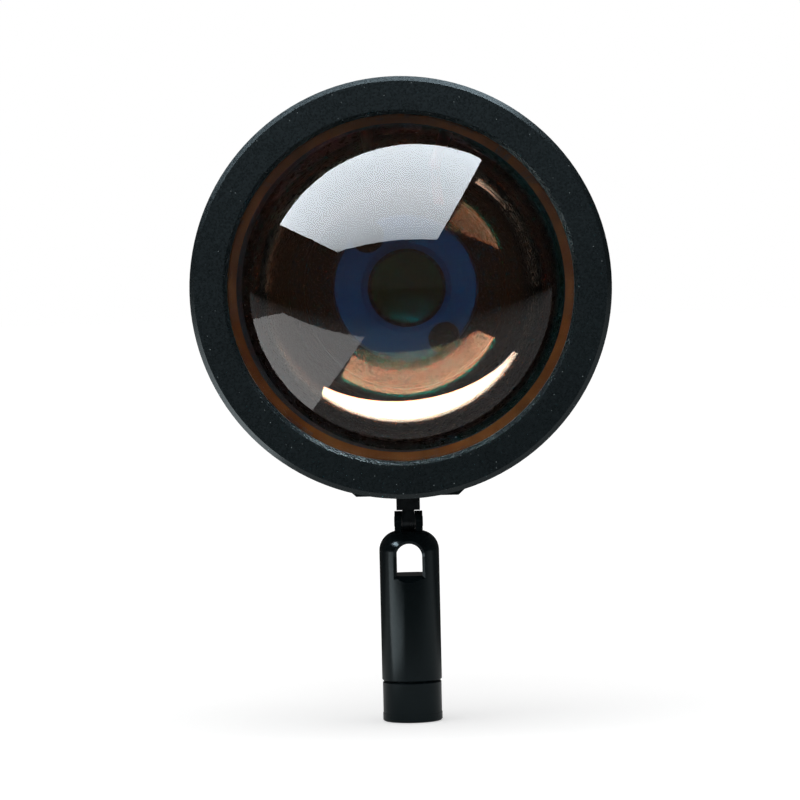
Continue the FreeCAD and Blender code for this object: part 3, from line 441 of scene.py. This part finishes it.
def wire(path, radius, sides):
    """Points and faces of a round wire along a path of points, closed at both ends.

    Its point at angle a lies at path + radius (across cos a + upward sin a), where across is square to the
    path and to Y, and upward is square to both.
    """
    along = np.gradient(path, axis=0)
    along /= np.linalg.norm(along, axis=1, keepdims=True)
    across = np.cross(along, [0.0, 1.0, 0.0])
    across /= np.linalg.norm(across, axis=1, keepdims=True)
    upward = np.cross(across, along)
    angle = np.linspace(0, FULL_TURN, sides, endpoint=False)[:, None]
    ring = across[:, None] * np.cos(angle) + upward[:, None] * np.sin(angle)
    return capped(path[:, None] + radius * ring, path[[0, -1]])


# ---------------------------------------------------------------- settings


class ProjectionLensSettings(bpy.types.PropertyGroup):
    """Sizes and fineness of the condenser lens"""

    dome_height: FloatProperty(
        name="Dome height", description="From the flange's front to the pole of the parabolic dome",
        default=20.0 * MM, min=0.001, unit="LENGTH", subtype="DISTANCE", precision=4)
    flange: FloatProperty(
        name="Flange width", description="Flat rim round the dome",
        default=3.0 * MM, unit="LENGTH", subtype="DISTANCE", precision=4)
    edge: FloatProperty(
        name="Edge thickness", description="Thickness of the flange",
        default=9.0 * MM, unit="LENGTH", subtype="DISTANCE", precision=4)
    rings: IntProperty(
        name="Rings", description="Rings of faces from the pole to the rim of the dome", default=96, min=8)
    segments: IntProperty(
        name="Segments", description="Faces round the lens", default=256, min=16)


class BushThreadSettings(bpy.types.PropertyGroup):
    """Sizes and fineness of the thread in the bush"""

    bore_radius: FloatProperty(
        name="Bore radius", description="From the axis to the crests of the thread",
        default=4.46 * MM, min=0.001, unit="LENGTH", subtype="DISTANCE", precision=4)
    depth: FloatProperty(
        name="Thread depth", description="From the crests to the roots",
        default=0.54 * MM, min=0.0001, unit="LENGTH", subtype="DISTANCE", precision=5)
    pitch: FloatProperty(
        name="Pitch", description="Rise of the thread in one turn",
        default=1.0 * MM, min=0.0001, unit="LENGTH", subtype="DISTANCE", precision=4)
    steps: IntProperty(name="Steps", description="Rings of faces in one pitch", default=14, min=6)
    segments: IntProperty(name="Segments", description="Faces round the bush", default=128, min=16)


class PanSocketSettings(bpy.types.PropertyGroup):
    """Sizes of the pan screw's socket and plain point"""

    flats: FloatProperty(
        name="Across flats", description="Size of the hexagon key",
        default=1.5 * MM, min=0.0005, unit="LENGTH", subtype="DISTANCE", precision=4)
    depth: FloatProperty(
        name="Socket depth", description="How deep the hexagon is broached",
        default=1.2 * MM, min=0.0002, unit="LENGTH", subtype="DISTANCE", precision=4)
    dog_radius: FloatProperty(
        name="Dog radius", description="Radius of the plain point",
        default=1.0 * MM, min=0.0002, unit="LENGTH", subtype="DISTANCE", precision=4)
    dog_length: FloatProperty(
        name="Dog length", description="Length of the plain point",
        default=1.0 * MM, min=0.0002, unit="LENGTH", subtype="DISTANCE", precision=4)


class ChokeWindingSettings(bpy.types.PropertyGroup):
    """The wire on the choke's core"""

    groove: FloatProperty(
        name="Groove depth", description="From the flanges' rim to the waist of the drum core",
        default=0.8 * MM, min=0.0001, unit="LENGTH", subtype="DISTANCE", precision=5)
    wire_radius: FloatProperty(
        name="Wire radius", description="With its enamel",
        default=0.25 * MM, min=0.00005, unit="LENGTH", subtype="DISTANCE", precision=5)
    turns: IntProperty(
        name="Turns", description="Turns that lie side by side in the groove", default=4, min=1)


class StudioSettings(bpy.types.PropertyGroup):
    """Camera, softbox and backdrop"""

    distance: FloatProperty(
        name="Camera distance", description="From the middle of the bezel's face",
        default=0.85, unit="LENGTH", subtype="DISTANCE")
    elevation: FloatProperty(
        name="Camera elevation", description="Height of the camera above the head, as an angle",
        default=0.0, unit="ROTATION", subtype="ANGLE")
    azimuth: FloatProperty(
        name="Camera azimuth", description="Turn of the camera to the right",
        default=math.radians(0.8), unit="ROTATION", subtype="ANGLE")
    roll: FloatProperty(
        name="Camera roll", description="Turn of the picture", default=math.radians(1.3),
        unit="ROTATION", subtype="ANGLE")
    aim_down: FloatProperty(
        name="Aim below", description="How far below the bezel's middle the camera aims",
        default=26.5 * MM, unit="LENGTH", subtype="DISTANCE", precision=4)
    aim_left: FloatProperty(
        name="Aim left", description="How far left of the bezel's middle the camera aims",
        default=0.7 * MM, unit="LENGTH", subtype="DISTANCE", precision=4)
    focal_length: FloatProperty(
        name="Focal length", description="In millimetres, on a sensor 36 mm wide", default=161.87)
    softbox_light: FloatProperty(
        name="Softbox light", description="Radiance of the overhead softbox on plain surfaces", default=0.8)
    softbox_glare: FloatProperty(
        name="Softbox glare", description="Radiance of the overhead softbox in gloss and glass", default=10.0)
    table_glare: FloatProperty(
        name="Table glare", description="Radiance of the low card in gloss and glass", default=2.6)
    backdrop: FloatVectorProperty(
        name="Backdrop", description="Colour of floor and background", subtype="COLOR",
        default=linear("#ffffff")[:3], min=0, max=1)


# ---------------------------------------------------------------- pieces


class LAMP_OT_grind_lens(bpy.types.Operator):
    """Plano-convex condenser lens"""

    bl_idname = "lamp.grind_lens"
    bl_label = "Grind Projection Lens"

    def execute(self, context):
        lens = context.scene.projection_lens
        low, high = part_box("projection_lens")
        radius = (high.x - low.x) / 2
        back = high.y - FACE
        front = back - lens.edge
        base = radius - lens.flange
        chamfer = 0.4 * MM
        # The dome is a turned parabola, which falls with the square of the way out to its base.
        out = np.linspace(0, 1, lens.rings + 1)
        dome = np.stack([base * out, front - lens.dome_height * (1 - out ** 2)], -1)
        flange = np.array([
            [radius - chamfer, front],
            [radius, front + chamfer],
            [radius, back - chamfer],
            [radius - chamfer, back],
            [radius - 2 * lens.flange, back],
            [0.0, back],
        ])
        profile = np.concatenate([dome, flange])
        ring_radius = np.repeat(profile[1:-1, :1], lens.segments, 1)
        points, faces = spun_solid(Vector((0, FACE, AXIS_HEIGHT)), ring_radius, profile[:, 1])
        piece = new_piece("condenser_lens", points, faces, borosilicate_glass(), "head")
        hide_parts("projection_lens")
        return {"FINISHED"}


class LAMP_OT_tap_bush(bpy.types.Operator):
    """Brass bush with its lamp thread"""

    bl_idname = "lamp.tap_bush"
    bl_label = "Tap Thread Bush"

    def execute(self, context):
        thread = context.scene.bush_thread
        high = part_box("thread_bush")[1]
        outer, length = high.x, high.z
        chamfer = 0.3 * MM
        angle = np.linspace(0, FULL_TURN, thread.segments, endpoint=False)
        height = np.linspace(length, 0, round(length / thread.pitch * thread.steps) + 1)[:, None]
        # The bore's radius follows a triangle wave of the height in pitches less the angle in turns, cut flat
        # at crest and root. The wave fades out at the top, and a cone leads in at the bottom.
        phase = (height / thread.pitch - angle / FULL_TURN) % 1
        steepness, crest_flat = 1.25, 0.12
        groove = np.clip(steepness * (1 - np.abs(2 * phase - 1)) - crest_flat, 0, 1)
        runout = np.clip((length - height) / thread.pitch, 0, 1)
        lead_in = np.clip(thread.depth - height, 0, None)
        bore = thread.bore_radius + np.maximum(thread.depth * groove * runout, lead_in)
        wall = np.array([
            [outer - chamfer, 0],
            [outer, chamfer],
            [outer, length - chamfer],
            [outer - chamfer, length],
        ])
        radius = np.concatenate([np.repeat(wall[:, :1], thread.segments, 1), bore])
        level = np.concatenate([wall[:, 1:], height]) + 0 * radius
        points = np.stack([radius * np.cos(angle), radius * np.sin(angle), level], -1)
        faces = wrap(*radius.shape, closed=True)[:, ::-1]
        piece = new_piece("tapped_bush", points.reshape(-1, 3), faces, turned_brass(), "base")
        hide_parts("thread_bush")
        return {"FINISHED"}


class LAMP_OT_broach_pan_screw(bpy.types.Operator):
    """Dog-point screw at the back of the stem, with its hexagon socket"""

    bl_idname = "lamp.broach_pan_screw"
    bl_label = "Broach Pan Screw"

    def execute(self, context):
        socket = context.scene.pan_socket
        low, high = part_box("pan_screw")
        body = (high.x - low.x) / 2
        length = high.y - low.y
        chamfer = 0.2 * MM
        segments = 48
        # A hexagon's radius is half its flats over the cosine of the angle from the nearest flat's middle.
        off_flat = np.linspace(0, 6, segments, endpoint=False) % 1 - 0.5
        hexagon = socket.flats / 2 / np.cos(off_flat * FULL_TURN / 6)
        floor = length - socket.depth
        rings = [(socket.dog_radius - chamfer, 0), (socket.dog_radius, chamfer),
                 (socket.dog_radius, socket.dog_length), (body - chamfer, socket.dog_length),
                 (body, socket.dog_length + chamfer), (body, length - chamfer), (body - chamfer, length)]
        radius = np.array([radius + 0 * hexagon for radius, _ in rings] + [hexagon, hexagon])
        depth = np.array([0, *(depth for _, depth in rings), length, floor, floor])
        middle = Vector(((low.x + high.x) / 2, low.y, (low.z + high.z) / 2))
        points, faces = spun_solid(middle, radius, depth)
        piece = new_piece("socketed_pan_screw", points, faces, black_oxide_steel(), "stem")
        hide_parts("pan_screw")
        return {"FINISHED"}


class LAMP_OT_wind_choke(bpy.types.Operator):
    """Enamelled copper winding in the groove of the choke"""

    bl_idname = "lamp.wind_choke"
    bl_label = "Wind Choke"

    def execute(self, context):
        winding = context.scene.choke_winding
        low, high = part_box("driver_choke")
        middle = centre_of("driver_choke")
        waist = (high.x - low.x) / 2 - winding.groove
        # The wire's middle runs on a helix about a line along Y, and each turn moves it by one pitch.
        steps, sides = 40, 12
        pitch = 2.05 * winding.wire_radius
        turn = np.linspace(0, winding.turns, winding.turns * steps + 1)
        angle = turn * FULL_TURN
        radius = waist + winding.wire_radius
        path = np.stack([
            middle.x + radius * np.cos(angle),
            middle.y + (turn - winding.turns / 2) * pitch,
            middle.z + radius * np.sin(angle),
        ], -1)
        points, faces = wire(path, winding.wire_radius, sides)
        new_piece("choke_winding", points, faces, enamelled_copper(), "head", sharp=60.0)
        return {"FINISHED"}


class LAMP_OT_finish_metal(bpy.types.Operator):
    """Anodised, blackened, plated and turned metal of the carried-over pieces"""

    bl_idname = "lamp.finish_metal"
    bl_label = "Finish Metal Pieces"

    def execute(self, context):
        give(black_anodised_aluminium("blasted_black_aluminium", 1.55, 0.24, 0.34, 0.05), "front_bezel",
             "housing_barrel", "heat_sink", "mount_saddle")
        give(black_anodised_aluminium("turned_black_aluminium", 1.4, 0.14, 0.2), "stem_sleeve",
             "swivel_collar")
        give(bronze_anodised_aluminium(), "filter_ring")
        give(black_oxide_steel(), "neck_lug", "pivot_pin", "led_screws", "rear_cover_screws")
        give(zinc_plated_steel(), "neck_nut", "saddle_screws", "heat_sink_screws", "driver_screws",
             "jack_pin")
        return {"FINISHED"}


class LAMP_OT_finish_mouldings(bpy.types.Operator):
    """Plastic, rubber and silicone of the carried-over pieces"""

    bl_idname = "lamp.finish_mouldings"
    bl_label = "Finish Mouldings"

    def execute(self, context):
        give(moulded_black_abs(), "rear_cover", "power_jack", "driver_chip")
        give(plain_plastic("grey_polycarbonate", "#46464a", "#4e4e52", 0.5), "baffle_cone")
        give(plain_plastic("blue_polyamide", "#46689a", "#4c70a4", 0.3), "led_holder")
        give(nitrile_rubber(), "lens_gasket", "swivel_ring")
        give(silicone_pad(), "thermal_pad")
        give(plain_plastic("black_acetal", "#141516", "#1d1f20", 0.3), "friction_washers")
        give(plain_plastic("vulcanised_fibre", "#3a2c22", "#4a392c", 0.6), "insulator_disc")
        return {"FINISHED"}


class LAMP_OT_finish_light_source(bpy.types.Operator):
    """Coated filter, light source, driver and leads"""

    bl_idname = "lamp.finish_light_source"
    bl_label = "Finish Light Source And Driver"

    def execute(self, context):
        give(dichroic_coated_glass(), "color_filter")
        give(board_lacquer("black_board_lacquer", "#10131a", "#1a2029"), "led_board")
        give(phosphor_silicone(), "led_emitter")
        give(board_lacquer("green_board_lacquer", "#1c4a2c", "#2a5f3a"), "driver_board")
        give(sintered_ferrite(), "driver_choke")
        give(plain_plastic("capacitor_sleeve", "#20282f", "#2a333b", 0.25), "driver_capacitor")
        give(plain_plastic("red_pvc", "#8e1c16", "#a8261d", 0.35), "led_wire_red")
        give(plain_plastic("black_pvc", "#131314", "#1c1c1e", 0.35), "led_wire_black")
        return {"FINISHED"}


# ---------------------------------------------------------------- stage


class LAMP_OT_set_stage(bpy.types.Operator):
    """Pale floor, overhead softbox, dim studio and the camera"""

    bl_idname = "lamp.set_stage"
    bl_label = "Set Stage"

    def execute(self, context):
        scene = context.scene
        studio = scene.studio
        scene.view_settings.view_transform = "Standard"
        lay_floor(studio)
        hang_softbox(studio)
        light_studio(scene, studio)
        place_camera(scene, studio)
        return {"FINISHED"}


def lay_floor(studio):
    """A wide flat floor, white to the camera where no shadow falls; to every other ray it shows a painted
    pool of light, pale grey only in a band under the lamp and near black elsewhere.

    Rays that leave the lens pass through the floor in front of the lamp, so that no horizon crosses the
    glass, and from below the floor isn't there at all. It lies a little under the foot, so that the two
    don't share a plane.
    """
    reach, level = 12.0, -0.1 * MM
    corners = [(-reach, -reach, level), (reach, -reach, level), (reach, reach, level), (-reach, reach, level)]
    mesh = bpy.data.meshes.new("floor")
    mesh.from_pydata(corners, [], [(0, 1, 2, 3)])
    material, tree, output = new_material("white_paper_with_painted_light_pool")
    colour = (*studio.backdrop, 1.0)
    rays = add_node(tree, "ShaderNodeLightPath")
    place = add_node(tree, "ShaderNodeTexCoord").outputs["Object"]
    depth = add_node(tree, "ShaderNodeSeparateXYZ", {"Vector": place}).outputs["Y"]
    pale_zone, open_from = 0.3, -0.15
    share = add_node(tree, "ShaderNodeMapRange", {
        "Value": depth, "From Min": -pale_zone, "From Max": pale_zone})
    # Painted pool of light: for rays other than the camera's, the floor's colour is pale grey in a band under
    # the lamp and near black in front of and behind it.
    painted_pool_ramp = add_node(tree, "ShaderNodeValToRGB", {"Fac": share.outputs["Result"]})
    stops = painted_pool_ramp.color_ramp.elements
    stops[0].position, stops[0].color = 0.0, (0.02, 0.02, 0.02, 1)
    stops[1].position, stops[1].color = 1.0, (0.05, 0.05, 0.05, 1)
    for position, grey in ((0.3, 0.5), (0.6, 0.5), (0.75, 0.05)):
        stops.new(position).color = (grey, grey, grey, 1)
    paper = add_node(tree, "ShaderNodeBsdfDiffuse", {"Color": linear("#e6e6e6")})
    glow = add_node(tree, "ShaderNodeEmission", {"Color": colour, "Strength": 0.42})
    lit = add_node(tree, "ShaderNodeAddShader", {0: paper.outputs["BSDF"], 1: glow.outputs["Emission"]})
    sheet = add_node(tree, "ShaderNodeBsdfDiffuse", {"Color": painted_pool_ramp.outputs["Color"]})
    nothing = add_node(tree, "ShaderNodeBsdfTransparent").outputs["BSDF"]
    ahead = add_node(tree, "ShaderNodeMath", {0: depth, 1: open_from}, operation="LESS_THAN").outputs["Value"]
    unseen = add_node(tree, "ShaderNodeMath", {
        0: ahead, 1: rays.outputs["Is Transmission Ray"]}, operation="MULTIPLY").outputs["Value"]
    opened = add_node(tree, "ShaderNodeMixShader", {0: unseen, 1: sheet.outputs["BSDF"], 2: nothing})
    topside = add_node(tree, "ShaderNodeMixShader", {
        0: rays.outputs["Is Camera Ray"], 1: opened.outputs["Shader"], 2: lit.outputs["Shader"]})
    underside = add_node(tree, "ShaderNodeNewGeometry").outputs["Backfacing"]
    surface = add_node(tree, "ShaderNodeMixShader", {0: underside, 1: topside.outputs["Shader"], 2: nothing})
    tree.links.new(surface.outputs["Shader"], output.inputs["Surface"])
    mesh.materials.append(material)
    floor = bpy.data.objects.new("floor", mesh)
    bpy.context.scene.collection.objects.link(floor)


def area_lamp(name, place, size, turn, radiance):
    """A rectangle of even radiance, turned from shining straight down; the camera never sees it.

    Its power is pi times its radiance times its area.
    """
    light = bpy.data.lights.new(name, "AREA")
    light.shape = "RECTANGLE"
    light.size, light.size_y = size
    light.energy = radiance * size[0] * size[1] * math.pi
    lamp = bpy.data.objects.new(name, light)
    lamp.location = place
    lamp.rotation_euler = turn
    lamp.visible_camera = False
    bpy.context.scene.collection.objects.link(lamp)
    return lamp


def brighten_backwards(light):
    """Let a lamp's radiance grow from its front edge to its back edge."""
    light.use_nodes = True
    tree = light.node_tree
    tree.nodes.clear()
    place = add_node(tree, "ShaderNodeNewGeometry").outputs["Parametric"]
    backwards = add_node(tree, "ShaderNodeSeparateXYZ", {"Vector": place}).outputs["Y"]
    ramp = add_node(tree, "ShaderNodeMapRange", {"Value": backwards, "To Min": 0.85, "To Max": 1.9})
    glow = add_node(tree, "ShaderNodeEmission", {
        "Color": linear("#eef7ff"), "Strength": ramp.outputs["Result"]})
    add_node(tree, "ShaderNodeOutputLight", {"Surface": glow.outputs["Emission"]})


def hang_softbox(studio):
    """A wide softbox over and before the lamp, plain on surfaces and bright in gloss, and a low card."""
    place = Vector((-0.23, FACE - 0.375, AXIS_HEIGHT + 0.45))
    size, turn = (1.10, 0.63), (0, 0, math.radians(5.5))
    key = area_lamp("softbox_light", place, size, turn, studio.softbox_light)
    key.visible_glossy = key.visible_transmission = False
    under_key = place - Vector((0, 0, 0.01))
    glare = area_lamp("softbox_glare", under_key, size, turn, studio.softbox_glare)
    brighten_backwards(glare.data)
    card_place, card_size, upwards = Vector((-0.32, FACE - 0.06, 0.004)), (0.48, 0.17), (math.pi, 0, 0)
    card = area_lamp("table_glare", card_place, card_size, upwards, studio.table_glare)
    glare.visible_diffuse = card.visible_diffuse = False


def light_studio(scene, studio):
    """White round the lamp for the camera and behind glass, dim in gloss and in front, even on surfaces.

    The share runs from nought straight in front of the lamp to one straight behind it.
    """
    world = bpy.data.worlds.new("studio")
    world.use_nodes = True
    tree = world.node_tree
    tree.nodes.clear()
    rays = add_node(tree, "ShaderNodeLightPath")
    around = add_node(tree, "ShaderNodeTexCoord").outputs["Generated"]
    backwards = add_node(tree, "ShaderNodeSeparateXYZ", {"Vector": around}).outputs["Y"]
    share = add_node(tree, "ShaderNodeMapRange", {"Value": backwards, "From Min": -1.0}).outputs["Result"]
    ramp = add_node(tree, "ShaderNodeValToRGB", {"Fac": share})
    stops = ramp.color_ramp.elements
    stops[0].position, stops[0].color = 0.45, (0.008, 0.008, 0.008, 1)
    stops[1].position, stops[1].color = 0.6, (1, 1, 1, 1)
    gloss = add_node(tree, "ShaderNodeMapRange", {
        "Value": share, "From Min": 0.0, "From Max": 0.2, "To Min": 0.12, "To Max": 0.03}).outputs["Result"]
    mirrored = add_node(tree, "ShaderNodeMix", {
        "Factor": rays.outputs["Is Reflection Ray"], "A": ramp.outputs["Color"], "B": gloss})
    direct = add_node(tree, "ShaderNodeMix", {
        "Factor": rays.outputs["Is Diffuse Ray"], "A": mirrored.outputs["Result"], "B": 0.75})
    seen = add_node(tree, "ShaderNodeMix", {
        "Factor": rays.outputs["Is Camera Ray"], "A": direct.outputs["Result"], "B": 1.0})
    colour = (*studio.backdrop, 1.0)
    light = add_node(tree, "ShaderNodeBackground", {"Color": colour, "Strength": seen.outputs["Result"]})
    output = add_node(tree, "ShaderNodeOutputWorld", {"Surface": light.outputs["Background"]})
    output.is_active_output = True
    scene.world = world


def place_camera(scene, studio):
    """A long lens in front of the head, rolled a little, with the lamp as it lies in the picture."""
    camera = bpy.data.cameras.new("camera")
    camera.lens = studio.focal_length
    camera.sensor_width = 36
    camera.clip_start, camera.clip_end = 0.05, 60
    eye = bpy.data.objects.new("camera", camera)
    middle = Vector((0, FACE, AXIS_HEIGHT))
    away = Vector((
        math.sin(studio.azimuth) * math.cos(studio.elevation),
        -math.cos(studio.azimuth) * math.cos(studio.elevation),
        math.sin(studio.elevation),
    ))
    place = middle + away * studio.distance
    aim = middle - Vector((studio.aim_left, 0, studio.aim_down))
    turn = (aim - place).to_track_quat("-Z", "Y").to_matrix().to_4x4()
    eye.matrix_world = Matrix.Translation(place) @ turn @ Matrix.Rotation(-studio.roll, 4, "Z")
    scene.collection.objects.link(eye)
    scene.camera = eye


# ---------------------------------------------------------------- panel and registration


class LAMP_PT_build(bpy.types.Panel):
    """Steps and settings of the lamp's looks"""

    bl_label = "Projection Lamp"
    bl_idname = "LAMP_PT_build"
    bl_space_type = "VIEW_3D"
    bl_region_type = "UI"
    bl_category = "Lamp"

    def draw(self, context):
        for group in GROUPS:
            settings = getattr(context.scene, group)
            box = self.layout.box()
            for name in settings.bl_rna.properties.keys():
                if name not in {"rna_type", "name"}:
                    box.prop(settings, name)
        for step in STEPS:
            self.layout.operator(step.bl_idname)


STEPS = (
    LAMP_OT_grind_lens,
    LAMP_OT_tap_bush,
    LAMP_OT_broach_pan_screw,
    LAMP_OT_wind_choke,
    LAMP_OT_finish_metal,
    LAMP_OT_finish_mouldings,
    LAMP_OT_finish_light_source,
    LAMP_OT_set_stage,
)
GROUPS = {
    "projection_lens": ProjectionLensSettings,
    "bush_thread": BushThreadSettings,
    "pan_socket": PanSocketSettings,
    "choke_winding": ChokeWindingSettings,
    "studio": StudioSettings,
}
CLASSES = (*GROUPS.values(), *STEPS, LAMP_PT_build)


def register():
    for kind in CLASSES:
        bpy.utils.register_class(kind)
    for name, group in GROUPS.items():
        setattr(bpy.types.Scene, name, PointerProperty(type=group))


def unregister():
    for name in GROUPS:
        delattr(bpy.types.Scene, name)
    for kind in reversed(CLASSES):
        bpy.utils.unregister_class(kind)


def main():
    """Make every piece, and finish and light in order."""
    register()
    bpy.ops.lamp.grind_lens()
    bpy.ops.lamp.tap_bush()
    bpy.ops.lamp.broach_pan_screw()
    bpy.ops.lamp.wind_choke()
    bpy.ops.lamp.finish_metal()
    bpy.ops.lamp.finish_mouldings()
    bpy.ops.lamp.finish_light_source()
    bpy.ops.lamp.set_stage()


if __name__ == "__main__":
    main()
